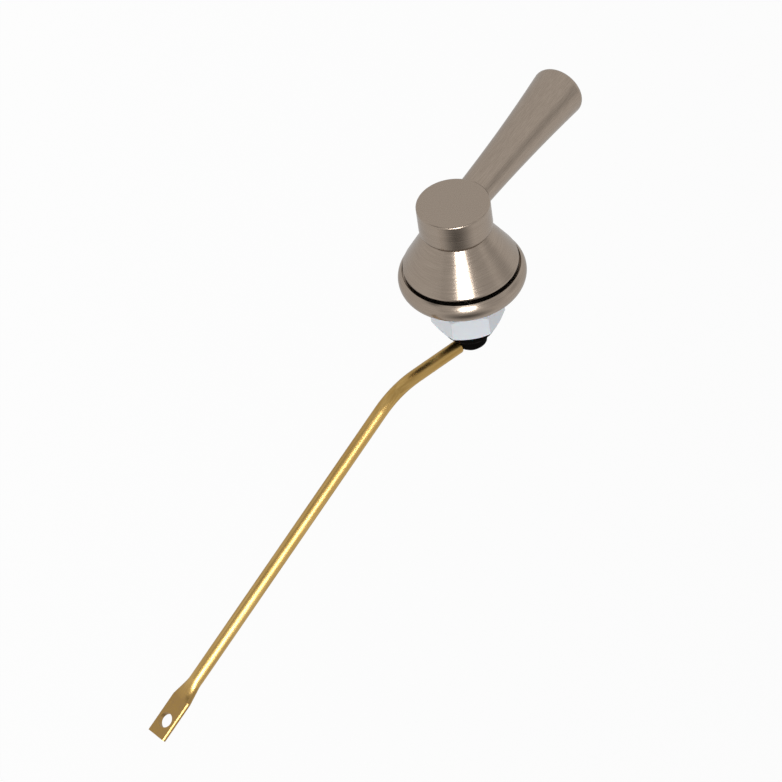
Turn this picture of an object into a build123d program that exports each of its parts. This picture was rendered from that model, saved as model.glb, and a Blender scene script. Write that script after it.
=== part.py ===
from build123d import *
import os
from math import cos, radians, sin, tan

# Cistern trip lever for a left-front tank hole, in millimetres.
# The spindle runs along Y: -Y is the user's side of the tank wall and +Y is inside the tank.
# The origin is on the spindle's axis, in the plane of the tank's outer wall. +Z is up.

# Handle: a turned drum with a flared lever that points to -X
drum_radius = 12.4
drum_height = 11.8
drum_top_round = 0.8
drum_bottom_round = 2.4
lever_length = 70.4
lever_root_radius = 5.7
lever_middle_radius = 7.3
lever_end_radius = 9.4
lever_middle_place = 0.62
lever_end_round = 2.2
spigot_radius = 7.0
spigot_length = 2.5

# Bell skirt under the drum
bell_top_radius = 10.9
bell_rim_radius = 19.4
bell_height = 14.9
bell_wall = 2.1
bell_rim_land = 0.9
bell_rim_round = 0.4
bell_to_escutcheon = 1.9

# Escutcheon ring against the tank wall
escutcheon_radius = 21.5
escutcheon_height = 6.8
escutcheon_widest = 2.6
escutcheon_front_radius = 18.7
escutcheon_back_radius = 19.2
escutcheon_lip = 1.1
escutcheon_web = 2.6
gasket_thickness = 1.2
gasket_radius = 16.2

# Bushing: a threaded shank with a collar and a hub that carries the stop and the spring
shank_radius = 8.7
shank_length = 20.9
shank_chamfer = 0.8
collar_thickness = 2.4
hub_radius = 11.0
hub_front = 5.2
notch_depth = 3.2
notch_inner_radius = 7.3

# Spindle, arm seat and stop
spindle_radius = 5.35
spindle_overhang = 6.7
spindle_chamfer = 1.3
spindle_square = 8.0
spindle_neck_radius = 6.4
flange_thickness = 2.5
flange_radius = 10.8
stop_lug_angle = 18.0
stop_lug_length = 2.8
turn_range = 40.0
stop_slack_angle = 1.5
thrust_washer_thickness = 0.8

# Return spring
spring_wire = 1.2
spring_turns = 3.25
spring_pitch = 1.35
spring_ear_angle = 18.0
spring_leg_tail = 0.6

# Arm: a brass rod, bent into the tank, with a flattened and drilled end
arm_radius = 2.38
arm_from_spindle_end = 2.0
arm_reach = 34.0
arm_length = 140.5
arm_bend = 33.0
arm_bend_radius = 30.0
arm_droop = 17.5
arm_stud_radius = 1.4
arm_stud_length = 8.0
arm_shoulder_round = 0.5
flat_length = 14.8
flat_width = 8.2
flat_thickness = 2.0
flat_ramp = 8.0
flat_offset = 0.5
lift_hole_radius = 2.6
lift_hole_from_end = 6.0

# Mounting nut
nut_across_corners = 25.1
nut_height = 9.0
nut_from_wall = 7.3
nut_turn = 7.4
nut_chamfer_angle = 30.0

# Small fasteners
set_screw_radius = 2.4
set_screw_recess = 0.8
set_screw_key = 2.5
set_screw_key_depth = 2.6
clip_thickness = 0.7
clip_radius = 7.2
clip_mouth = 6.4
clip_groove_depth = 0.95

# Clearances
running_fit = 0.05
seat_gap = 0.05
radial_gap = 0.2
clip_gap = 0.3
groove_side_gap = 0.05
wire_gap = 0.2

# Planes along the spindle's axis
escutcheon_front = -escutcheon_height
bell_rim_y = escutcheon_front - bell_to_escutcheon
bell_top_y = bell_rim_y - bell_height
drum_top_y = bell_top_y - drum_height
lever_y = (drum_top_y + bell_top_y) / 2
spigot_end_y = bell_top_y + spigot_length
web_front = -escutcheon_web
collar_front = web_front - collar_thickness
hub_front_y = collar_front - hub_front
flange_back = hub_front_y - thrust_washer_thickness
flange_front = flange_back - flange_thickness
spindle_end = shank_length + spindle_overhang
arm_y = spindle_end - arm_from_spindle_end
recess_radius = escutcheon_front_radius - escutcheon_lip
collar_radius = recess_radius - radial_gap
bore_radius = spindle_radius + running_fit
spring_radius = hub_radius + wire_gap + spring_wire / 2
spindle_front = drum_top_y + lever_root_radius / 2 + seat_gap
stop_angle = 90.0


def turned(points, radii):
    """Body of revolution about the spindle's axis; each corner (radius, y) has its own rounding."""
    return revolve(make_face(FilletPolyline(*points, radius=radii, close=True)), Axis.Y)


def ring(inner, outer, back, front):
    """Plain ring between two planes on the spindle's axis."""
    return turned([(inner, back), (outer, back), (outer, front), (inner, front)], [0, 0, 0, 0])


def sector(inner, outer, back, front, start, angle):
    """Part of a ring, from a start angle about +Y that is measured from +X."""
    outline = Polyline((inner, back), (outer, back), (outer, front), (inner, front), close=True)
    return Rot(0, start, 0) * revolve(make_face(outline), Axis.Y, angle)


def cylinder_along_y(radius, start, end):
    """Round bar on the spindle's axis."""
    return Pos(0, (start + end) / 2, 0) * Rot(90, 0, 0) * Cylinder(radius, end - start)


def make_handle():
    """Drum and lever in one casting, with a square socket for the spindle."""
    drum_points = [(0, drum_top_y), (drum_radius, drum_top_y), (drum_radius, bell_top_y)]
    spigot_points = [(spigot_radius, bell_top_y), (spigot_radius, spigot_end_y), (0, spigot_end_y)]
    drum = turned(drum_points + spigot_points, [0, drum_top_round, drum_bottom_round, 0, 0, 0])

    root = (0, lever_y + lever_root_radius)
    middle = (-lever_length * lever_middle_place, lever_y + lever_middle_radius)
    tip = (-lever_length, lever_y + lever_end_radius)
    flare = ThreePointArc(root, middle, tip)
    outline = flare + Polyline(tip, (-lever_length, lever_y), (0, lever_y), root)
    lever = revolve(make_face(outline), Axis((0, lever_y, 0), (1, 0, 0)))
    end_edge = lever.edges().filter_by(GeomType.CIRCLE).sort_by(Axis.X)[0]
    lever = fillet(end_edge, lever_end_round)

    handle = drum + lever
    socket_width = spindle_square + 2 * running_fit
    socket_length = spigot_end_y - spindle_front + seat_gap
    socket = Box(socket_width, socket_length, socket_width)
    handle -= Pos(0, spigot_end_y - socket_length / 2, 0) * socket
    return handle - set_screw_bar(set_screw_radius + running_fit, drum_radius + drum_top_round)


def set_screw_bar(radius, outer):
    """Upright bar from the spindle's square down to an outer radius, for the set screw and its hole."""
    inner = spindle_square / 2 + seat_gap
    place = Pos(0, lever_y, -(inner + outer) / 2)
    return place * Cylinder(radius, outer - inner)


def make_handle_set_screw():
    """Socket set screw in the drum's underside."""
    outer = drum_radius - set_screw_recess
    screw = set_screw_bar(set_screw_radius, outer)
    key = extrude(RegularPolygon(set_screw_key / 2, 6, major_radius=False), set_screw_key_depth)
    return screw - Pos(0, lever_y, -outer) * key


def make_bell_skirt():
    """Hollow cone that hides the spring and turns with the handle."""
    cone_height = bell_height - bell_rim_land
    slope = (bell_rim_radius - bell_top_radius) / cone_height
    wall = bell_wall * (1 + slope**2) ** 0.5
    bore = spigot_radius + running_fit
    land_y = bell_rim_y - bell_rim_land
    under_top = bell_top_y + bell_wall
    inner_rim = bell_rim_radius + slope * bell_rim_land - wall
    inner_top = bell_top_radius + slope * bell_wall - wall
    outside = [(bore, bell_top_y), (bell_top_radius, bell_top_y), (bell_rim_radius, land_y)]
    rim = [(bell_rim_radius, bell_rim_y), (inner_rim, bell_rim_y)]
    inside = [(inner_top, under_top), (bore, under_top)]
    roundings = [0, bell_rim_round, bell_rim_round, bell_rim_round, bell_rim_round, 0, 0]
    return turned(outside + rim + inside, roundings)


def make_escutcheon():
    """Half-round ring with a recess for the bushing's collar and another for the gasket."""
    bore = shank_radius + radial_gap
    front_edge = (escutcheon_front_radius, escutcheon_front)
    back_edge = (escutcheon_back_radius, 0)
    bead = ThreePointArc(front_edge, (escutcheon_radius, -escutcheon_widest), back_edge)
    seat = gasket_radius + radial_gap
    back_face = Polyline(back_edge, (seat, 0), (seat, -gasket_thickness), (bore, -gasket_thickness))
    recess = [(bore, web_front), (recess_radius, web_front), (recess_radius, escutcheon_front)]
    front_face = Polyline((bore, -gasket_thickness), *recess, front_edge)
    return revolve(make_face(bead + back_face + front_face), Axis.Y)


def make_wall_gasket():
    """Rubber washer in the escutcheon's back, flush with the tank wall."""
    return ring(shank_radius + radial_gap, gasket_radius, -gasket_thickness, 0)


def make_bushing():
    """Shank, collar and hub in one moulding, with a stop notch and a hole for the spring's leg."""
    inside = [(bore_radius, shank_length), (bore_radius, hub_front_y)]
    hub = [(hub_radius, hub_front_y), (hub_radius, collar_front)]
    collar = [(collar_radius, collar_front), (collar_radius, web_front)]
    shank = [(shank_radius, web_front), (shank_radius, shank_length - shank_chamfer)]
    chamfer_end = [(shank_radius - shank_chamfer, shank_length)]
    points = inside + hub + collar + shank + chamfer_end
    bushing = turned(points, [0] * len(points))
    start = stop_angle - stop_lug_angle / 2 - turn_range - stop_slack_angle
    sweep_angle = stop_lug_angle + turn_range + 2 * stop_slack_angle
    notch_bottom = hub_front_y + notch_depth
    past_hub = hub_radius + radial_gap
    past_front = hub_front_y - radial_gap
    bushing -= sector(notch_inner_radius, past_hub, notch_bottom, past_front, start, sweep_angle)
    leg_hole = Rot(90, 0, 0) * Cylinder(spring_wire / 2 + wire_gap / 2, 2 * collar_thickness)
    return bushing - Pos(spring_radius, collar_front, 0) * leg_hole


def make_spindle():
    """Shaft with a square for the handle, a flange with the stop lug and a seat for the arm."""
    neck = cylinder_along_y(spindle_neck_radius, spigot_end_y + seat_gap, flange_front)
    square_length = spigot_end_y + seat_gap - spindle_front
    square = Box(spindle_square, square_length, spindle_square)
    flange = ring(0, flange_radius, flange_back, flange_front)
    journal = cylinder_along_y(spindle_radius, flange_back, spindle_end)
    journal = chamfer(journal.edges().sort_by(Axis.Y)[-1], spindle_chamfer)
    spindle = neck + Pos(0, spindle_front + square_length / 2, 0) * square + flange + journal

    lug_inner = notch_inner_radius + radial_gap
    lug_start = stop_angle - stop_lug_angle / 2
    lug_end = hub_front_y + stop_lug_length
    lug = sector(lug_inner, flange_radius, lug_end, flange_front, lug_start, stop_lug_angle)
    ear_radius = spring_radius + spring_wire
    ear_start = -360 * spring_turns - spring_ear_angle / 2
    ear = sector(spindle_neck_radius, ear_radius, flange_back, flange_front, ear_start, spring_ear_angle)
    spindle += lug + ear
    leg_hole = Rot(90, 0, 0) * Cylinder(spring_wire / 2 + wire_gap / 2, 4 * flange_thickness)
    leg_place = Rot(0, -360 * spring_turns, 0) * Pos(spring_radius, (flange_back + flange_front) / 2, 0)
    spindle -= leg_place * leg_hole

    groove_start = shank_length + clip_gap - groove_side_gap
    groove_end = groove_start + clip_thickness + 2 * groove_side_gap
    groove_floor = spindle_radius - clip_groove_depth
    spindle -= ring(groove_floor, 2 * spindle_radius, groove_end, groove_start)
    stud_hole = Rot(0, 90, 0) * Cylinder(arm_stud_radius + running_fit, 2 * arm_stud_length)
    return spindle - Rot(0, arm_droop, 0) * Pos(spindle_radius, arm_y, 0) * stud_hole


def make_thrust_washer():
    """Nylon washer between the spindle's flange and the bushing's hub."""
    return ring(bore_radius, notch_inner_radius - radial_gap, hub_front_y, flange_back)


def make_return_spring():
    """Torsion spring: a close helix round the hub with one leg in the collar and one in the spindle."""
    coil_height = spring_turns * spring_pitch
    coil = Helix(spring_pitch, coil_height, spring_radius)
    section = Plane(coil @ 0, z_dir=coil % 0) * Circle(spring_wire / 2)
    wire = sweep(section, path=coil, is_frenet=True)
    leg_low = collar_thickness * 0.7 + spring_wire / 2
    leg_high = flange_thickness + thrust_washer_thickness + hub_front - coil_height
    low_leg = Pos(spring_radius, 0, -leg_low / 2) * Cylinder(spring_wire / 2, leg_low)
    top_length = leg_high - spring_wire / 2 + spring_leg_tail
    top_turn = Rot(0, 0, 360 * spring_turns)
    top_place = top_turn * Pos(spring_radius, 0, coil_height + top_length / 2)
    top_leg = top_place * Cylinder(spring_wire / 2, top_length)
    joints = Pos(spring_radius, 0, 0) * Sphere(spring_wire / 2)
    joints += top_turn * Pos(spring_radius, 0, coil_height) * Sphere(spring_wire / 2)
    spring = wire + low_leg + top_leg + joints
    return Pos(0, collar_front - spring_wire / 2 - seat_gap, 0) * Rot(90, 0, 0) * spring


def make_arm():
    """Bent rod with a shouldered stud at the spindle and a flattened, drilled end."""
    bend = radians(arm_bend)
    along = Vector(cos(bend), sin(bend), 0)
    face_normal = Vector(sin(bend), -cos(bend), 0)
    corner = Vector(arm_reach, arm_y, 0)
    shoulder = Vector(spindle_radius + seat_gap, arm_y, 0)
    ramp_start = corner + along * (arm_length - flat_length - flat_ramp)
    flat_start = corner + along * (arm_length - flat_length) + face_normal * flat_offset
    path = FilletPolyline(shoulder, corner, ramp_start, radius=arm_bend_radius)
    rod = sweep(Plane(path @ 0, z_dir=path % 0) * Circle(arm_radius), path=path)
    rod = fillet(rod.edges().sort_by(Axis.X)[0], arm_shoulder_round)
    ramp_plane = Plane(ramp_start, x_dir=(0, 0, 1), z_dir=along)
    flat_plane = Plane(flat_start, x_dir=(0, 0, 1), z_dir=along)
    flat_section = flat_plane * SlotOverall(flat_width, flat_thickness)
    ramp = loft([ramp_plane * Circle(arm_radius), flat_section])
    flat = extrude(flat_section, flat_length)
    arm = rod + ramp + flat
    hole_plane = Plane(flat_start + along * (flat_length - lift_hole_from_end), z_dir=face_normal)
    arm -= hole_plane * Cylinder(lift_hole_radius, 4 * arm_radius)
    stud = Rot(0, 90, 0) * Cylinder(arm_stud_radius, arm_stud_length + arm_shoulder_round)
    arm += Pos(shoulder.X + (arm_shoulder_round - arm_stud_length) / 2, arm_y, 0) * stud
    return Rot(0, arm_droop, 0) * arm


def make_mounting_nut():
    """Hexagonal plastic nut on the shank, with its corners turned off at both ends."""
    hexagon = extrude(RegularPolygon(nut_across_corners / 2, 6), nut_height)
    nut = Pos(0, nut_from_wall + nut_height, 0) * Rot(0, -nut_turn, 0) * Rot(90, 0, 0) * hexagon
    corner_radius = nut_across_corners / 2
    flat_radius = corner_radius * cos(radians(30))
    drop = (corner_radius - flat_radius) * tan(radians(nut_chamfer_angle))
    back = nut_from_wall + nut_height
    front = nut_from_wall
    points = [(0, front), (flat_radius, front), (corner_radius, front + drop)]
    points += [(corner_radius, back - drop), (flat_radius, back), (0, back)]
    nut &= turned(points, [0] * len(points))
    return nut - cylinder_along_y(shank_radius + running_fit, front - nut_height, back + nut_height)


def make_retaining_clip():
    """Open spring clip in the spindle's groove, behind the shank's end."""
    start = shank_length + clip_gap
    inner = spindle_radius - clip_groove_depth + running_fit
    clip = ring(inner, clip_radius, start + clip_thickness, start)
    mouth = Box(clip_mouth, 4 * clip_thickness, 2 * clip_radius)
    return clip - Pos(0, start + clip_thickness / 2, clip_radius) * mouth


parts = {
    "handle": make_handle(),
    "handle_set_screw": make_handle_set_screw(),
    "bell_skirt": make_bell_skirt(),
    "escutcheon": make_escutcheon(),
    "wall_gasket": make_wall_gasket(),
    "bushing": make_bushing(),
    "spindle": make_spindle(),
    "thrust_washer": make_thrust_washer(),
    "return_spring": make_return_spring(),
    "retaining_clip": make_retaining_clip(),
    "mounting_nut": make_mounting_nut(),
    "arm": make_arm(),
}

os.makedirs("parts", exist_ok=True)
for node, solid in parts.items():
    export_step(solid, f"parts/{node}.step")
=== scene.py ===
import cmath
import math

import bmesh
import bpy
from mathutils import Matrix, Vector


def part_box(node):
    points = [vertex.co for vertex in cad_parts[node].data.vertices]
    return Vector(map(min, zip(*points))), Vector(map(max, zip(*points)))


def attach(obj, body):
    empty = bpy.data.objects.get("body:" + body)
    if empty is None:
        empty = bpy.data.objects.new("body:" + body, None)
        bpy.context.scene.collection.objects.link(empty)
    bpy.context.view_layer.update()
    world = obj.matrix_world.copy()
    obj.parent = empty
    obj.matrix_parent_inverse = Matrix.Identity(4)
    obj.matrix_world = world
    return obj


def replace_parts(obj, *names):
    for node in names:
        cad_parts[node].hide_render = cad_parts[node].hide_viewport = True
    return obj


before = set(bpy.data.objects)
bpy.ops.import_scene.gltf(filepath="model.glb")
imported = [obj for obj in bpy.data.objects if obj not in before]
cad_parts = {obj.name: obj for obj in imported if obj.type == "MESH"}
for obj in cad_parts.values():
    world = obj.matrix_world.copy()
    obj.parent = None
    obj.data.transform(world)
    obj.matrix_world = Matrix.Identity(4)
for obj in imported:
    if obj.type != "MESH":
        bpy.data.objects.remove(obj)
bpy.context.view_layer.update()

bl_info = {
    "name": "Cistern lever looks",
    "version": (1, 0, 0),
    "blender": (4, 5, 0),
    "location": "View3D > Sidebar > Cistern lever",
    "description": "Dresses the packed cistern lever with its finishes, thread and studio",
    "category": "Object",
}

MILLIMETRE = 0.001
SENSOR_WIDTH = 36.0

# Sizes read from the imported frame, and ways of the axis and the brush lines
DRUM_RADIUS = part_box("handle")[1].z
BELL_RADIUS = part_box("bell_skirt")[1].x
RING_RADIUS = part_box("escutcheon")[1].x
SHANK_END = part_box("bushing")[1].y
SPINDLE_AXIS = Vector((0, 1, 0))
LEVER_WAY = Vector((-1, 0, 0))
CAP_WAY = Vector((0.795, 0, 0.607))

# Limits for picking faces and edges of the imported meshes
SHARP_ANGLE = math.radians(28)
FLAT_ANGLE = math.radians(1)
JOIN_DISTANCE = 0.02 * MILLIMETRE
SHANK_WALL_LENGTH = 10 * MILLIMETRE
CAP_FACING = -0.3

# Values of noise between which most of a pattern lies
NOISE_SPAN = {"From Min": 0.25, "From Max": 0.75}
LINE_NOISE = {"Detail": 2.0, "Roughness": 0.5}

# Roughness from the dark to the light tone of each metal, and how far it draws a lamp out across its lines
NICKEL_ROUGHNESS = (0.20, 0.26)
NICKEL_STREAK = 0.5
BRASS_ROUGHNESS = (0.30, 0.25)
BRASS_STREAK = 0.78
STEEL_ROUGHNESS = (0.28, 0.42)
STEEL_STREAK = 0.3
QUARTER_TURN = 0.25

# Dull films on the metals keep their edges from turning white
EDGE_TINT = (0.78, 0.78, 0.78, 1.0)

# How far soft smears change a metal's roughness, and how much of the brass is clouded
SMEAR_ROUGHNESS = 0.06
TARNISH_SHARE = 0.45

# Share of its colour that a moulded finish keeps in its dark tone, its roughness and its gloss
ACETAL = (0.6, 0.75, 0.02)
RUBBER = (0.7, 0.7, 0.3)
WASHER_NYLON = (0.9, 0.45, 0.5)
NUT_NYLON = (0.95, 0.4, 0.5)
NUT_SUBSURFACE = 0.15
SUBSURFACE_DEPTH = 2 * MILLIMETRE
PLASTIC_SPREAD = 0.06
PLASTIC_IOR = 1.5

# Relief of the lines and of the moulded grain
LINE_BUMP = 0.04
MOULDED_BUMP = 0.15
BUMP_DEPTH = 0.1 * MILLIMETRE

# Shape of the thread's groove: 1 is a plain wave, and less is a sharper crest
THREAD_SHARPNESS = 0.7

# Steps round the ring's bead and across the nut's rounded edges
BEAD_STEPS = 28
EDGE_SEGMENTS = 3

# Ways from the part to the lamps and the grey cards
KEY_WAY = Vector((0.736, -0.367, 0.563))
FILL_WAY = Vector((-0.3, -0.5, 1.0))
DRUM_CARD_WAY = Vector((0.603, 0.65, 0.46))
ARM_CARD_WAY = Vector((0.619, -0.715, -0.326))
LEVER_CARD_WAY = Vector((-0.579, -0.177, 0.796))

# Share of the floor that is plain white to the eye: the rest keeps the shadow
FLOOR_WHITE = 0.95
WHITE = (1.0, 1.0, 1.0, 1.0)

# What a Mix node mixes, and the sockets of its two sides
FLOATS = {"data_type": "FLOAT"}
FLOAT_A = 2
FLOAT_B = 3
VECTORS = {"data_type": "VECTOR"}
VECTOR_A = 4
VECTOR_B = 5
COLOURS = {"data_type": "RGBA"}
COLOUR_A = 6
COLOUR_B = 7


def linear(hex_colour):
    """Linear red, green and blue of an sRGB hex colour."""
    channels = [int(hex_colour[place : place + 2], 16) / 255 for place in (1, 3, 5)]
    return [c / 12.92 if c <= 0.04045 else ((c + 0.055) / 1.055) ** 2.4 for c in channels]


def colour_property(name, description, hex_colour):
    """A colour that a user can change."""
    return bpy.props.FloatVectorProperty(
        name=name, description=description, subtype="COLOR", size=3, min=0, max=1, default=linear(hex_colour)
    )


def length_property(name, description, millimetres):
    """A length that a user can change, given in millimetres."""
    return bpy.props.FloatProperty(
        name=name, description=description, subtype="DISTANCE", unit="LENGTH", min=0,
        default=millimetres * MILLIMETRE,
    )


def angle_property(name, description, degrees):
    """An angle that a user can change, given in degrees."""
    return bpy.props.FloatProperty(
        name=name, description=description, subtype="ANGLE", unit="ROTATION", default=math.radians(degrees)
    )


def power_property(name, description, watts):
    """A lamp's power that a user can change."""
    return bpy.props.FloatProperty(name=name, description=description, unit="POWER", min=0, default=watts)


def share_property(name, description, share):
    """A share from 0 to 1 that a user can change."""
    return bpy.props.FloatProperty(
        name=name, description=description, subtype="FACTOR", min=0, max=1, default=share
    )


class LeverFinishes(bpy.types.PropertyGroup):
    """Colours of the finishes and sizes of their patterns."""

    nickel: colour_property("Nickel", "Brushed nickel plate in even light", "#9E9184")
    nickel_dark: colour_property("Nickel, dark lines", "Shaded side of the brush lines", "#8E8175")
    brass: colour_property("Brass", "Drawn brass in even light", "#C4A468")
    brass_dark: colour_property("Brass, die marks", "Brown lines left by the drawing die", "#97743B")
    brass_tarnish: colour_property("Brass, tarnish", "Brown clouds on the bare brass", "#A08148")
    # Dull pressed brass of the flat end, painted darker than the brass: partly its real dull surface, partly
    # painted shade for the dim reflection of the flat face
    brass_pressed_and_shaded: colour_property("Brass, pressed", "Dull brass of the flattened end", "#97794F")
    black: colour_property("Black acetal", "Moulded spindle and bushing", "#080706")
    nut_white: colour_property("White nylon", "Moulded nut", "#C6CACF")
    rubber: colour_property("Rubber", "Wall gasket", "#2B2A28")
    steel: colour_property("Steel", "Spring and set screw", "#8C8B88")
    steel_dark: colour_property("Steel, dark lines", "Drawing marks on the steel", "#6D6C6A")
    clip: colour_property("Blackened steel", "Retaining clip", "#211F1D")
    clip_dark: colour_property("Blackened steel, dark lines", "Marks on the retaining clip", "#131211")
    washer: colour_property("Natural nylon", "Thrust washer", "#E3DCCB")
    brush_line: length_property("Brush line", "Width of a brush line as drawn", 0.3)
    brush_run: length_property("Brush run", "Length of a brush line along the grain", 9.0)
    die_mark: length_property("Die mark", "Width of a drawing mark as drawn", 0.7)
    die_run: length_property("Die run", "Length of a drawing mark along the rod", 40.0)
    smear: length_property("Smear", "Size of the soft changes of gloss and tone", 11.0)
    tarnish: length_property("Tarnish", "Size of the brown clouds on the brass", 14.0)
    moulded_grain: length_property("Moulded grain", "Size of the grain on moulded plastic", 0.5)


class LeverArm(bpy.types.PropertyGroup):
    """How the arm lies, for marks that follow the rod."""

    reach: length_property("Reach", "Distance from the spindle's axis to the corner of the bend", 34.0)
    axis_place: length_property("Axis place", "Distance of the first run from the wall", 25.6)
    bend: angle_property("Bend", "Turn of the main run into the tank", 33.0)
    droop: angle_property("Droop", "Tilt of the whole arm below level", 17.5)
    flat_length: length_property("Flat length", "Length of the flattened end", 14.8)
    flat_ramp: length_property("Flat ramp", "Length over which the rod becomes flat", 8.0)


class LeverForms(bpy.types.PropertyGroup):
    """Sizes of the thread, of the ring's standing edge and of the nut's rounded edges."""

    pitch: length_property("Pitch", "Distance from one thread crest to the next", 2.1)
    depth: length_property("Depth", "Height of the thread from root to crest", 0.75)
    runout: length_property("Run-out", "Length over which the thread fades into the shank", 1.2)
    ring_step: length_property("Ring step", "Distance between the rings of vertices along the thread", 0.2)
    edge_gap: length_property("Edge gap", "Space between the bell's rim and the ring's standing edge", 0.4)
    edge_top: length_property("Edge top", "Width of the standing edge's flat top and of its round", 0.12)
    edge_rise: length_property("Edge rise", "How far the standing edge reaches in front of the ring", 0.9)
    bead_middle: length_property("Bead middle", "Distance of the bead's widest line from the wall", 4.17)
    nut_edge: length_property("Nut edge", "Rounding of the nut's moulded edges", 0.4)


class LeverStage(bpy.types.PropertyGroup):
    """Floor, lamps, grey cards and camera."""

    floor_drop: length_property("Floor drop", "How far the floor lies below the spindle", 420.0)
    floor_side: length_property("Floor side", "Side of the square floor", 16000.0)
    floor_colour: colour_property("Floor", "Plain pale floor", "#FBFBFA")
    key_power: power_property("Key power", "Power of the softbox beside the camera", 21.0)
    key_side: length_property("Key side", "Side of the softbox beside the camera", 560.0)
    key_distance: length_property("Key distance", "Distance of the softbox from the part", 1500.0)
    fill_power: power_property("Fill power", "Power of the large lamp overhead", 7.0)
    fill_side: length_property("Fill side", "Side of the large lamp overhead", 1600.0)
    fill_distance: length_property("Fill distance", "Distance of the large lamp from the part", 2000.0)
    world_light: share_property("World light", "Strength of the even light from all round", 0.26)
    wall_card_side: length_property("Wall card side", "Side of the grey card behind the softbox", 16000.0)
    wall_card_distance: length_property("Wall card distance", "Distance of that card from the part", 1700.0)
    wall_card_shade: share_property("Wall card shade", "Brightness of that card at its middle", 0.74)
    drum_card_side: length_property("Drum card side", "Side of the dark card that the drum mirrors", 1000.0)
    drum_card_distance: length_property("Drum card distance", "Distance of that card from the part", 500.0)
    drum_card_shade: share_property("Drum card shade", "Brightness of the dark card at its middle", 0.08)
    arm_card_side: length_property("Arm card side", "Side of the dark card that the arm mirrors", 420.0)
    arm_card_distance: length_property("Arm card distance", "Distance of the arm's card from the part", 505.0)
    arm_card_shade: share_property("Arm card shade", "Brightness of the arm's card at its middle", 0.0)
    lever_card_side: length_property("Lever card side", "Side of the grey card that the lever mirrors", 500.0)
    lever_card_distance: length_property("Lever card distance", "Distance of the lever's card", 560.0)
    lever_card_shade: share_property("Lever card shade", "Brightness of the lever's card at its middle", 0.62)
    azimuth: angle_property("Camera azimuth", "Turn of the camera to the right of the handle", 40.0905)
    elevation: angle_property("Camera elevation", "Height of the camera above level", 26.0750)
    roll: angle_property("Camera roll", "Turn of the camera about its line of sight", 108.8663)
    distance: length_property("Camera distance", "Distance of the camera from its target", 1664.205)
    lens: bpy.props.FloatProperty(
        name="Camera lens", description="Focal length", subtype="DISTANCE_CAMERA", unit="CAMERA",
        default=230.179,
    )
    target: bpy.props.FloatVectorProperty(
        name="Camera target", description="Point in the middle of the image", subtype="XYZ", unit="LENGTH",
        size=3, default=Vector((36.117, 22.622, -9.467)) * MILLIMETRE,
    )


def finishes():
    """The finishes as the user has set them."""
    return bpy.context.scene.lever_finishes


def add_node(tree, kind, settings=None, values=None, links=None):
    """Adds one node with its settings, constants and links, and gives its first output in use."""
    made = tree.nodes.new(kind)
    for name, value in (settings or {}).items():
        setattr(made, name, value)
    for socket, value in (values or {}).items():
        made.inputs[socket].default_value = value
    for socket, source in (links or {}).items():
        tree.links.new(source, made.inputs[socket])
    return next((output for output in made.outputs if output.enabled), None)


def opaque(colour):
    """A colour with full alpha for a shader's colour socket."""
    return (colour[0], colour[1], colour[2], 1.0)


def new_material(name):
    """An empty node material and its tree."""
    material = bpy.data.materials.new(name)
    material.use_nodes = True
    material.node_tree.nodes.clear()
    return material, material.node_tree


def show(tree, shader):
    """Sends a shader to the material's surface."""
    add_node(tree, "ShaderNodeOutputMaterial", links={"Surface": shader})


def dress(node_name, material):
    """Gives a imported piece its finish."""
    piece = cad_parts[node_name]
    piece.data.materials.clear()
    piece.data.materials.append(material)


def turned_lines(tree, line, run, radius):
    """Brush lines round the spindle's axis, at a line width and a run length in metres."""
    place = add_node(tree, "ShaderNodeTexCoord").node.outputs["Object"]
    flat = add_node(tree, "ShaderNodeVectorMath", {"operation": "MULTIPLY"}, {1: (1, 0, 1)}, {0: place})
    out = add_node(tree, "ShaderNodeVectorMath", {"operation": "LENGTH"}, None, {0: flat})
    way = add_node(tree, "ShaderNodeVectorMath", {"operation": "NORMALIZE"}, None, {0: flat})
    turn = add_node(tree, "ShaderNodeVectorMath", {"operation": "SCALE"}, {"Scale": radius / run}, {0: way})
    depth = {1: SPINDLE_AXIS / line}
    spot = add_node(tree, "ShaderNodeVectorMath", {"operation": "MULTIPLY_ADD"}, depth, {0: place, 2: turn})
    ring = add_node(tree, "ShaderNodeMath", {"operation": "MULTIPLY"}, {1: 1 / line}, {0: out})
    return add_node(
        tree, "ShaderNodeTexNoise", {"noise_dimensions": "4D"}, {"Scale": 1.0, **LINE_NOISE},
        {"Vector": spot, "W": ring},
    )


def lines_along(tree, way, line, run):
    """Noise drawn out along one way: lines of a width and a run length in metres."""
    place = add_node(tree, "ShaderNodeTexCoord").node.outputs["Object"]
    reach = add_node(tree, "ShaderNodeVectorMath", {"operation": "DOT_PRODUCT"}, {1: way}, {0: place})
    spare = add_node(tree, "ShaderNodeMath", {"operation": "MULTIPLY"}, {1: 1 - line / run}, {0: reach})
    shift = add_node(tree, "ShaderNodeVectorMath", {"operation": "SCALE"}, {0: way}, {"Scale": spare})
    left = add_node(tree, "ShaderNodeVectorMath", {"operation": "SUBTRACT"}, None, {0: place, 1: shift})
    return add_node(tree, "ShaderNodeTexNoise", None, {"Scale": 1 / line, **LINE_NOISE}, {"Vector": left})


def grain(tree, size):
    """Even noise of one size in metres."""
    return lines_along(tree, SPINDLE_AXIS, size, size)


def two_tone(tree, pattern, dark, light):
    """Colours a noise pattern from a dark tone to a light one."""
    share = add_node(tree, "ShaderNodeMapRange", None, NOISE_SPAN, {"Value": pattern})
    tones = {COLOUR_A: opaque(dark), COLOUR_B: opaque(light)}
    return add_node(tree, "ShaderNodeMix", COLOURS, tones, {0: share})


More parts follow.
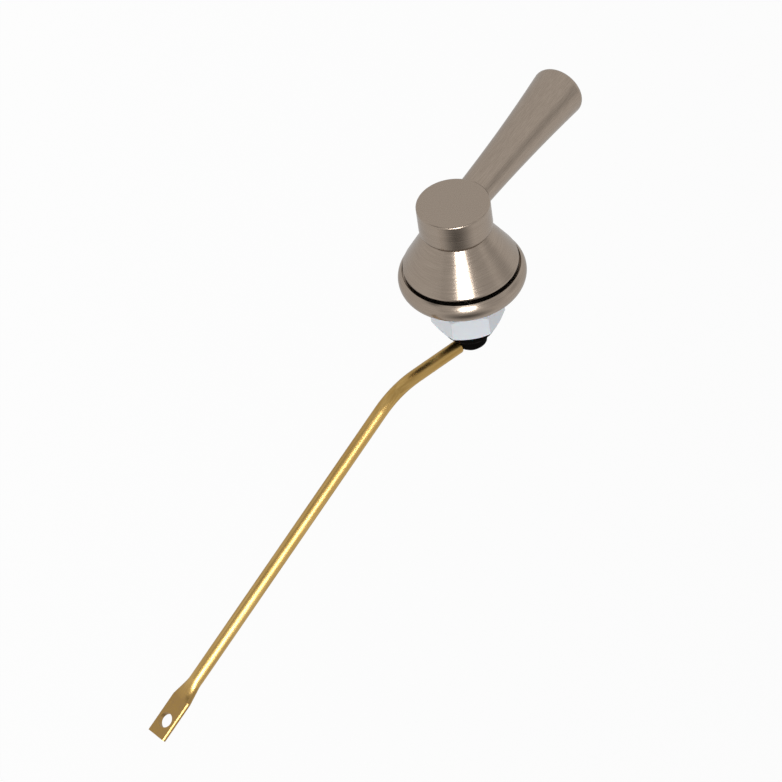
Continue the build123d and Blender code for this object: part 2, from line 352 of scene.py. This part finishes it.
def metal_shader(tree, colour, lines, roughness, streak, way):
    """A brushed or drawn metal: its lines set the gloss, and draw a lamp out across the way they run."""
    span = {**NOISE_SPAN, "To Min": roughness[0], "To Max": roughness[1]}
    lined = add_node(tree, "ShaderNodeMapRange", None, span, {"Value": lines})
    smears = grain(tree, finishes().smear)
    rough = add_node(
        tree, "ShaderNodeMath", {"operation": "MULTIPLY_ADD"}, {1: SMEAR_ROUGHNESS}, {0: smears, 2: lined}
    )
    relief = {"Strength": LINE_BUMP, "Distance": BUMP_DEPTH}
    bump = add_node(tree, "ShaderNodeBump", None, relief, {"Height": lines})
    spaces = {"vector_type": "VECTOR", "convert_from": "OBJECT", "convert_to": "WORLD"}
    tangent = add_node(tree, "ShaderNodeVectorTransform", spaces, None, {"Vector": way})
    sheen = {"Anisotropic": streak, "Anisotropic Rotation": QUARTER_TURN}
    shader = add_node(
        tree, "ShaderNodeBsdfPrincipled", None, {"Metallic": 1.0, "Specular Tint": EDGE_TINT, **sheen},
        {"Base Color": colour, "Roughness": rough, "Normal": bump, "Tangent": tangent},
    )
    show(tree, shader)


def nickel_shader(tree, lines, way):
    """Satin nickel plate over brush lines."""
    look = finishes()
    colour = two_tone(tree, lines, look.nickel_dark, look.nickel)
    metal_shader(tree, colour, lines, NICKEL_ROUGHNESS, NICKEL_STREAK, way)


def round_way(tree):
    """The way round the spindle's axis at each point."""
    place = add_node(tree, "ShaderNodeTexCoord").node.outputs["Object"]
    turn = {"operation": "CROSS_PRODUCT"}
    return add_node(tree, "ShaderNodeVectorMath", turn, {1: SPINDLE_AXIS}, {0: place})


def turned_nickel(name, radius):
    """Die-cast zinc, turned, brushed round and nickel plated: fine rings with a lamp's streak across them.

    Real brush lines are about 0.05 mm wide, so they are drawn coarser to show.
    """
    look = finishes()
    material, tree = new_material(name)
    lines = turned_lines(tree, look.brush_line, look.brush_run, radius)
    nickel_shader(tree, lines, round_way(tree))
    return material


def handle_nickel():
    """The same plate on the handle: rings on the drum, an even grain on its cap and lines along the lever.

    Its brush lines are drawn coarser than real ones too.
    """
    look = finishes()
    material, tree = new_material("Nickel-plated zinc, brushed along the lever")
    here = add_node(tree, "ShaderNodeTexCoord").node
    along = add_node(tree, "ShaderNodeSeparateXYZ", None, None, {0: here.outputs["Object"]})
    on_lever = add_node(tree, "ShaderNodeMath", {"operation": "LESS_THAN"}, {1: -DRUM_RADIUS}, {0: along})
    normal = add_node(tree, "ShaderNodeSeparateXYZ", None, None, {0: here.outputs["Normal"]})
    facing = normal.node.outputs["Y"]
    on_cap = add_node(tree, "ShaderNodeMath", {"operation": "LESS_THAN"}, {1: CAP_FACING}, {0: facing})
    rings = turned_lines(tree, look.brush_line, look.brush_run, DRUM_RADIUS)
    even = grain(tree, look.brush_line)
    lengthwise = lines_along(tree, LEVER_WAY, look.brush_line, look.brush_run)
    drum = add_node(tree, "ShaderNodeMix", FLOATS, None, {0: on_cap, FLOAT_A: rings, FLOAT_B: even})
    lines = add_node(tree, "ShaderNodeMix", FLOATS, None, {0: on_lever, FLOAT_A: drum, FLOAT_B: lengthwise})
    rounds = round_way(tree)
    drum_way = add_node(tree, "ShaderNodeMix", VECTORS, {VECTOR_B: CAP_WAY}, {0: on_cap, VECTOR_A: rounds})
    way = add_node(tree, "ShaderNodeMix", VECTORS, {VECTOR_B: LEVER_WAY}, {0: on_lever, VECTOR_A: drum_way})
    nickel_shader(tree, lines, way)
    return material


def arm_ways():
    """The corner of the arm's bend, and the ways of its first run and its main run."""
    arm = bpy.context.scene.lever_arm
    droop = Matrix.Rotation(arm.droop, 3, "Y")
    corner = droop @ Vector((arm.reach, arm.axis_place, 0))
    first_run = droop @ Vector((1, 0, 0))
    main_run = droop @ Vector((math.cos(arm.bend), math.sin(arm.bend), 0))
    return corner, first_run, main_run


def drawn_brass():
    """Brass rod, cold drawn and left bare: long die marks, a warm sheen, brown clouds and a dull, mottled
    pressed end that is also painted darker, a painted shade for the dim reflection of its flat face.

    Real die marks are about 0.1 mm wide, so they are drawn coarser to show.
    """
    look = finishes()
    arm = bpy.context.scene.lever_arm
    material, tree = new_material("Brass rod, cold drawn")
    corner, first_run, main_run = arm_ways()
    halfway = (first_run + main_run).normalized()
    place = add_node(tree, "ShaderNodeTexCoord").node.outputs["Object"]
    reach = add_node(tree, "ShaderNodeVectorMath", {"operation": "DOT_PRODUCT"}, {1: halfway}, {0: place})
    bend_place = corner.dot(halfway)
    past = add_node(tree, "ShaderNodeMath", {"operation": "GREATER_THAN"}, {1: bend_place}, {0: reach})
    runs = [lines_along(tree, run, look.die_mark, look.die_run) for run in (first_run, main_run)]
    marks = add_node(tree, "ShaderNodeMix", FLOATS, None, {0: past, FLOAT_A: runs[0], FLOAT_B: runs[1]})
    ways = {VECTOR_A: first_run, VECTOR_B: main_run}
    way = add_node(tree, "ShaderNodeMix", VECTORS, ways, {0: past})

    drawn = two_tone(tree, marks, look.brass_dark, look.brass)
    clouds = add_node(tree, "ShaderNodeMapRange", None, NOISE_SPAN, {"Value": grain(tree, look.tarnish)})
    cloudy = {COLOUR_A: opaque(look.brass_tarnish), COLOUR_B: opaque(look.brass)}
    tint = add_node(tree, "ShaderNodeMix", COLOURS, cloudy, {0: clouds})
    aged = add_node(tree, "ShaderNodeMix", COLOURS, {0: TARNISH_SHARE}, {COLOUR_A: drawn, COLOUR_B: tint})

    tip = max(vertex.co.dot(main_run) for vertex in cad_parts["arm"].data.vertices)
    flat_start = tip - arm.flat_length
    along = add_node(tree, "ShaderNodeVectorMath", {"operation": "DOT_PRODUCT"}, {1: main_run}, {0: place})
    pressed = add_node(
        tree, "ShaderNodeMapRange", None, {"From Min": flat_start - arm.flat_ramp, "From Max": flat_start},
        {"Value": along},
    )
    # The flat end's mottled dull brass is painted darker: painted shade for the dim reflection its flat face
    # shows
    dull_and_shaded = two_tone(tree, grain(tree, look.die_mark), look.brass_pressed_and_shaded, look.brass_tarnish)
    colour = add_node(tree, "ShaderNodeMix", COLOURS, None, {0: pressed, COLOUR_A: aged, COLOUR_B: dull_and_shaded})
    metal_shader(tree, colour, marks, BRASS_ROUGHNESS, BRASS_STREAK, way)
    return material


def moulded(name, colour, shade, roughness, gloss, subsurface=0.0):
    """Moulded plastic or rubber: a faint even grain, slightly uneven gloss and a soft change of tone."""
    look = finishes()
    material, tree = new_material(name)
    texture = grain(tree, look.moulded_grain)
    tone = two_tone(tree, grain(tree, look.smear), [channel * shade for channel in colour], colour)
    relief = {"Strength": MOULDED_BUMP, "Distance": BUMP_DEPTH}
    bump = add_node(tree, "ShaderNodeBump", None, relief, {"Height": texture})
    span = {**NOISE_SPAN, "To Min": roughness - PLASTIC_SPREAD, "To Max": roughness + PLASTIC_SPREAD}
    rough = add_node(tree, "ShaderNodeMapRange", None, span, {"Value": texture})
    body = {"Subsurface Weight": subsurface, "Subsurface Scale": SUBSURFACE_DEPTH}
    shader = add_node(
        tree, "ShaderNodeBsdfPrincipled", None, {"IOR": PLASTIC_IOR, "Specular IOR Level": gloss, **body},
        {"Base Color": tone, "Roughness": rough, "Normal": bump},
    )
    show(tree, shader)
    return material


def drawn_steel(name, dark, light):
    """Spring and fastener steel, drawn and left bright or blackened: fine marks and a medium gloss."""
    look = finishes()
    material, tree = new_material(name)
    marks = lines_along(tree, SPINDLE_AXIS, look.brush_line, look.die_mark)
    colour = two_tone(tree, marks, dark, light)
    metal_shader(tree, colour, marks, STEEL_ROUGHNESS, STEEL_STREAK, round_way(tree))
    return material


def piece_from(geometry, name, material):
    """A new piece of the mounting from a bmesh, smooth but for its real edges, taking the finish it is given.
    """
    bmesh.ops.recalc_face_normals(geometry, faces=geometry.faces)
    mesh = bpy.data.meshes.new(name)
    geometry.to_mesh(mesh)
    geometry.free()
    mesh.materials.append(material)
    mesh.shade_smooth()
    mesh.set_sharp_from_angle(angle=SHARP_ANGLE)
    piece = bpy.data.objects.new(name, mesh)
    bpy.context.scene.collection.objects.link(piece)
    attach(piece, "mounting")
    return piece


def solid_copy(node_name):
    """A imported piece's mesh as a bmesh, with the seams between its faces joined."""
    geometry = bmesh.new()
    geometry.from_mesh(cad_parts[node_name].data)
    bmesh.ops.remove_doubles(geometry, verts=geometry.verts, dist=JOIN_DISTANCE)
    return geometry


def from_axis(place):
    """Distance of a point from the spindle's axis."""
    return math.hypot(place.x, place.z)


def round_place(place):
    """Angle of a point round the spindle's axis."""
    return math.atan2(place.z, place.x)


def smooth_step(share):
    """A soft change from 0 to 1."""
    share = min(max(share, 0.0), 1.0)
    return share * share * (3 - 2 * share)


def turn_wall(geometry, wall, count, outline):
    """Exchanges a turned wall for new rings: outline(ring, angle) gives a point's radius and depth."""
    corners = {vertex for face in wall for vertex in face.verts}
    bmesh.ops.delete(geometry, geom=wall, context="FACES")
    left = [vertex for vertex in corners if vertex.is_valid]
    rims = sorted(left, key=lambda vertex: round_place(vertex.co))
    middle = sum(vertex.co.y for vertex in rims) / len(rims)
    near = [vertex for vertex in rims if vertex.co.y < middle]
    far = [vertex for vertex in rims if vertex.co.y > middle]
    rings = [near]
    for ring in range(count):
        turn = []
        for vertex in near:
            angle = round_place(vertex.co)
            radius, depth = outline(ring, angle)
            turn.append(geometry.verts.new((radius * math.cos(angle), depth, radius * math.sin(angle))))
        rings.append(turn)
    for turn, after in zip(rings, rings[1:]):
        for place in range(len(turn)):
            geometry.faces.new((turn[place - 1], turn[place], after[place], after[place - 1]))
    loops = [(loop[place - 1], loop[place]) for loop in (rings[-1], far) for place in range(len(loop))]
    bmesh.ops.bridge_loops(geometry, edges=[geometry.edges.get(pair) for pair in loops])


def threaded_bushing(forms, material):
    """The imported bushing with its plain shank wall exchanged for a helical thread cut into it."""
    geometry = solid_copy("bushing")
    end_radius = max(from_axis(v.co) for v in geometry.verts if v.co.y > SHANK_END - JOIN_DISTANCE)
    wall = []
    for face in geometry.faces:
        length = max(v.co.y for v in face.verts) - min(v.co.y for v in face.verts)
        outside = min(from_axis(v.co) for v in face.verts) > end_radius + JOIN_DISTANCE
        if outside and length > SHANK_WALL_LENGTH:
            wall.append(face)
    corners = [v.co for face in wall for v in face.verts]
    start = min(corner.y for corner in corners)
    end = max(corner.y for corner in corners)
    crest = from_axis(corners[0])
    steps = round((end - start) / forms.ring_step)

    def outline(ring, angle):
        depth = start + (end - start) * (ring + 1) / steps
        fade = smooth_step((depth - start) / forms.runout) * smooth_step((end - depth) / forms.runout)
        turn = depth / forms.pitch - angle / (2 * math.pi)
        groove = (0.5 - 0.5 * math.cos(2 * math.pi * turn)) ** THREAD_SHARPNESS
        return crest - forms.depth * fade * groove, depth

    turn_wall(geometry, wall, steps - 1, outline)
    return piece_from(geometry, "bushing_threaded", material)


def arc_points(first, middle, last, steps):
    """Points on the arc through three points, each a complex number, from the first up to the last."""
    share = (last - first) / (middle - first)
    centre = first + (middle - first) * (share - abs(share) ** 2) / (share - share.conjugate())
    sweep = cmath.phase((last - centre) / (first - centre))
    return [centre + (first - centre) * cmath.exp(1j * sweep * step / steps) for step in range(steps)]


def edged_escutcheon(forms, material):
    """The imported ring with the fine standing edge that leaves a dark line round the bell's rim."""
    geometry = solid_copy("escutcheon")
    front = min(v.co.y for v in geometry.verts)
    lip = max(from_axis(v.co) for v in geometry.verts if v.co.y < front + JOIN_DISTANCE)
    back = max(from_axis(v.co) for v in geometry.verts if v.co.y > -JOIN_DISTANCE)
    widest = complex(RING_RADIUS - JOIN_DISTANCE, -forms.bead_middle)
    wall = [face for face in geometry.faces if min(from_axis(v.co) for v in face.verts) > lip - JOIN_DISTANCE]
    recess = BELL_RADIUS + forms.edge_gap
    crest = front - forms.edge_rise
    edge = complex(recess + 2 * forms.edge_top, crest)
    bead = arc_points(edge, widest, complex(back, 0), BEAD_STEPS)
    foot = complex(recess, front)
    inner_top = complex(recess, crest + forms.edge_top)
    outer_top = complex(recess + forms.edge_top, crest)
    profile = [foot, inner_top, outer_top, *bead]
    turn_wall(geometry, wall, len(profile), lambda ring, angle: (profile[ring].real, profile[ring].imag))
    return piece_from(geometry, "escutcheon_edged", material)


def moulded_nut(forms, material):
    """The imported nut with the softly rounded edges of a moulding."""
    geometry = solid_copy("mounting_nut")
    bmesh.ops.dissolve_limit(
        geometry, angle_limit=FLAT_ANGLE, use_dissolve_boundaries=False,
        verts=geometry.verts, edges=geometry.edges,
    )
    nut = piece_from(geometry, "mounting_nut_moulded", material)
    edges = nut.modifiers.new("moulded edges", "BEVEL")
    edges.width = forms.nut_edge
    edges.segments = EDGE_SEGMENTS
    edges.limit_method = "ANGLE"
    edges.angle_limit = SHARP_ANGLE
    edges.harden_normals = True
    return nut


class LEVER_OT_handle(bpy.types.Operator):
    """Dress the handle and its set screw"""

    bl_idname = "lever.handle"
    bl_label = "Handle"

    def execute(self, context):
        look = finishes()
        dress("handle", handle_nickel())
        dress("handle_set_screw", drawn_steel("Set screw steel, bright drawn", look.steel_dark, look.steel))
        return {"FINISHED"}


class LEVER_OT_bell_skirt(bpy.types.Operator):
    """Dress the bell skirt under the handle"""

    bl_idname = "lever.bell_skirt"
    bl_label = "Bell skirt"

    def execute(self, context):
        dress("bell_skirt", turned_nickel("Nickel-plated zinc, brushed round the bell", BELL_RADIUS))
        return {"FINISHED"}


class LEVER_OT_escutcheon(bpy.types.Operator):
    """Edge and dress the escutcheon ring, and dress its gasket"""

    bl_idname = "lever.escutcheon"
    bl_label = "Escutcheon and gasket"

    def execute(self, context):
        nickel = turned_nickel("Nickel-plated zinc, brushed round the ring", RING_RADIUS)
        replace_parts(edged_escutcheon(context.scene.lever_forms, nickel), "escutcheon")
        dress("wall_gasket", moulded("Rubber, moulded", finishes().rubber, *RUBBER))
        return {"FINISHED"}


class LEVER_OT_inner_works(bpy.types.Operator):
    """Thread the bushing, and dress it with the spindle, washer, spring and clip"""

    bl_idname = "lever.inner_works"
    bl_label = "Spindle and inner works"

    def execute(self, context):
        look = finishes()
        black = moulded("Black acetal, moulded", look.black, *ACETAL)
        dress("spindle", black)
        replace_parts(threaded_bushing(context.scene.lever_forms, black), "bushing")
        dress("thrust_washer", moulded("Natural nylon, moulded", look.washer, *WASHER_NYLON))
        dress("return_spring", drawn_steel("Spring steel, bright drawn", look.steel_dark, look.steel))
        dress("retaining_clip", drawn_steel("Clip steel, blackened", look.clip_dark, look.clip))
        return {"FINISHED"}


class LEVER_OT_nut(bpy.types.Operator):
    """Round and dress the mounting nut"""

    bl_idname = "lever.nut"
    bl_label = "Mounting nut"

    def execute(self, context):
        nylon = moulded("White nylon, moulded", finishes().nut_white, *NUT_NYLON, NUT_SUBSURFACE)
        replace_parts(moulded_nut(context.scene.lever_forms, nylon), "mounting_nut")
        return {"FINISHED"}


class LEVER_OT_arm(bpy.types.Operator):
    """Dress the lift arm"""

    bl_idname = "lever.arm"
    bl_label = "Lift arm"

    def execute(self, context):
        dress("arm", drawn_brass())
        return {"FINISHED"}


class LEVER_OT_stage(bpy.types.Operator):
    """Set up the floor, the lamps, the grey cards and the camera"""

    bl_idname = "lever.stage"
    bl_label = "Stage"

    def camera(self, scene, stage):
        """Camera at the photograph's angle, rolled so that the spindle stands upright in the image."""
        level = math.cos(stage.elevation)
        across = math.sin(stage.azimuth) * level
        towards = math.cos(stage.azimuth) * level
        back = Vector((across, -towards, math.sin(stage.elevation)))
        side = Vector((0, 0, 1)).cross(back).normalized()
        rise = back.cross(side)
        right = math.cos(stage.roll) * side + math.sin(stage.roll) * rise
        up = math.cos(stage.roll) * rise - math.sin(stage.roll) * side
        data = bpy.data.cameras.new("Camera")
        data.lens = stage.lens
        data.sensor_width = SENSOR_WIDTH
        data.clip_end = stage.floor_side
        camera = bpy.data.objects.new("Camera", data)
        turn = Matrix((right, up, back)).transposed().to_4x4()
        camera.matrix_world = Matrix.Translation(stage.target + back * stage.distance) @ turn
        scene.collection.objects.link(camera)
        scene.camera = camera

    def looked_at(self, tree):
        """1 where a camera, glossy or transmission ray looks, and 0 for the light that falls on things."""
        rays = add_node(tree, "ShaderNodeLightPath").node.outputs
        seen = add_node(
            tree, "ShaderNodeMath", {"operation": "MAXIMUM"}, None,
            {0: rays["Is Camera Ray"], 1: rays["Is Glossy Ray"]},
        )
        return add_node(
            tree, "ShaderNodeMath", {"operation": "MAXIMUM"}, None, {0: seen, 1: rays["Is Transmission Ray"]}
        )

    def square(self, scene, name, side, material):
        """Flat square of the stage."""
        geometry = bmesh.new()
        bmesh.ops.create_grid(geometry, x_segments=1, y_segments=1, size=side / 2)
        mesh = bpy.data.meshes.new(name)
        geometry.to_mesh(mesh)
        geometry.free()
        mesh.materials.append(material)
        square = bpy.data.objects.new(name, mesh)
        scene.collection.objects.link(square)
        return square

    def face_part(self, thing, way, distance, target):
        """Puts a lamp or card at a distance from the target, and turns it to face it."""
        thing.location = Vector(target) + way.normalized() * distance
        thing.rotation_mode = "QUATERNION"
        thing.rotation_quaternion = way.to_track_quat("Z", "Y")

    def floor(self, scene, stage):
        """Pale matt floor, nearly white to the eye, that keeps a share of the part's shadow."""
        material, tree = new_material("Floor, pale matt paint")
        diffuse = add_node(tree, "ShaderNodeBsdfDiffuse", None, {"Color": opaque(stage.floor_colour)})
        white = add_node(tree, "ShaderNodeEmission", None, {"Color": WHITE, "Strength": 1.0})
        seen = self.looked_at(tree)
        share = add_node(tree, "ShaderNodeMath", {"operation": "MULTIPLY"}, {1: FLOOR_WHITE}, {0: seen})
        show(tree, add_node(tree, "ShaderNodeMixShader", None, None, {0: share, 1: diffuse, 2: white}))
        floor = self.square(scene, "floor", stage.floor_side, material)
        floor.location.z = -stage.floor_drop

    def world(self, scene, stage):
        """Even light from all round, white to the eye."""
        world = bpy.data.worlds.new("Studio")
        world.use_nodes = True
        tree = world.node_tree
        tree.nodes.clear()
        span = {"To Min": stage.world_light, "To Max": 1.0}
        strength = add_node(tree, "ShaderNodeMapRange", None, span, {"Value": self.looked_at(tree)})
        light = add_node(tree, "ShaderNodeBackground", None, {"Color": WHITE}, {"Strength": strength})
        add_node(tree, "ShaderNodeOutputWorld", links={"Surface": light})
        scene.world = world

    def lamp(self, scene, stage, name, way, mirrored):
        """Soft square lamp that faces the part."""
        data = bpy.data.lights.new(name, "AREA")
        data.shape = "SQUARE"
        data.size = getattr(stage, f"{name}_side")
        data.energy = getattr(stage, f"{name}_power")
        lamp = bpy.data.objects.new(name, data)
        self.face_part(lamp, way, getattr(stage, f"{name}_distance"), stage.target)
        lamp.visible_camera = False
        lamp.visible_glossy = mirrored
        scene.collection.objects.link(lamp)

    def card(self, scene, stage, name, way):
        """Grey studio card, feathered to white at its edge, that shows only in the metal."""
        side = getattr(stage, f"{name}_side")
        material, tree = new_material("Grey card, feathered to white")
        place = add_node(tree, "ShaderNodeTexCoord").node.outputs["Object"]
        out = add_node(tree, "ShaderNodeVectorMath", {"operation": "LENGTH"}, None, {0: place})
        span = {"From Max": side / 2, "To Min": getattr(stage, f"{name}_shade"), "To Max": 1.0}
        smooth = {"interpolation_type": "SMOOTHSTEP"}
        brightness = add_node(tree, "ShaderNodeMapRange", smooth, span, {"Value": out})
        show(tree, add_node(tree, "ShaderNodeEmission", None, None, {"Strength": brightness}))
        card = self.square(scene, name, side, material)
        self.face_part(card, way, getattr(stage, f"{name}_distance"), stage.target)
        for ray in ("camera", "diffuse", "transmission", "volume_scatter", "shadow"):
            setattr(card, f"visible_{ray}", False)

    def execute(self, context):
        scene = context.scene
        stage = scene.lever_stage
        scene.view_settings.view_transform = "Standard"
        self.camera(scene, stage)
        self.floor(scene, stage)
        self.world(scene, stage)
        self.lamp(scene, stage, "key", KEY_WAY, True)
        self.lamp(scene, stage, "fill", FILL_WAY, False)
        self.card(scene, stage, "wall_card", KEY_WAY)
        self.card(scene, stage, "drum_card", DRUM_CARD_WAY)
        self.card(scene, stage, "arm_card", ARM_CARD_WAY)
        self.card(scene, stage, "lever_card", LEVER_CARD_WAY)
        return {"FINISHED"}


OPERATORS = (
    LEVER_OT_handle,
    LEVER_OT_bell_skirt,
    LEVER_OT_escutcheon,
    LEVER_OT_inner_works,
    LEVER_OT_nut,
    LEVER_OT_arm,
    LEVER_OT_stage,
)
SETTINGS = {
    "lever_finishes": LeverFinishes,
    "lever_arm": LeverArm,
    "lever_forms": LeverForms,
    "lever_stage": LeverStage,
}


class LEVER_PT_panel(bpy.types.Panel):
    """Lists the steps that dress the lever, with the sizes and colours they use"""

    bl_idname = "LEVER_PT_panel"
    bl_label = "Cistern lever"
    bl_space_type = "VIEW_3D"
    bl_region_type = "UI"
    bl_category = "Cistern lever"

    def draw(self, context):
        for operator in OPERATORS:
            self.layout.operator(operator.bl_idname)
        for settings, kind in SETTINGS.items():
            box = self.layout.box()
            group = getattr(context.scene, settings)
            for name in kind.__annotations__:
                box.prop(group, name)


CLASSES = (*SETTINGS.values(), *OPERATORS, LEVER_PT_panel)


def register():
    for cls in CLASSES:
        bpy.utils.register_class(cls)
    for name, group in SETTINGS.items():
        setattr(bpy.types.Scene, name, bpy.props.PointerProperty(type=group))


def unregister():
    for name in SETTINGS:
        delattr(bpy.types.Scene, name)
    for cls in reversed(CLASSES):
        bpy.utils.unregister_class(cls)


def main():
    register()
    bpy.ops.lever.handle()
    bpy.ops.lever.bell_skirt()
    bpy.ops.lever.escutcheon()
    bpy.ops.lever.inner_works()
    bpy.ops.lever.nut()
    bpy.ops.lever.arm()
    bpy.ops.lever.stage()


if __name__ == "__main__":
    main()
